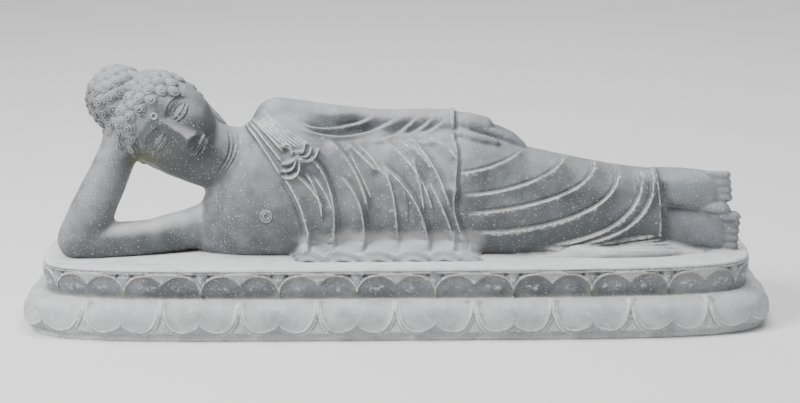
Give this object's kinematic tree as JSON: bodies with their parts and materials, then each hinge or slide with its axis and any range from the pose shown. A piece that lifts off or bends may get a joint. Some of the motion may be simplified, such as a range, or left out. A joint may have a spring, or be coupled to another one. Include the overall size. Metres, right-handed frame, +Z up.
{
  "type": "reclining buddha statue",
  "caption": "Carved grey stone statue of a robed Buddha reclining on its side, head on hand, on a long lotus petal base; stands flat on floor or shelf.",
  "frame": {"origin": "middle of the base's flat underside", "axes": "+X along the statue towards the feet, +Z up, the front with the face looks along -Y"},
  "size_m": [0.9988, 0.2986, 0.3398],
  "materials": {
    "stone": null
  },
  "bodies": {
    "root": {"reclining_buddha": "stone"}
  },
  "joints": []
}
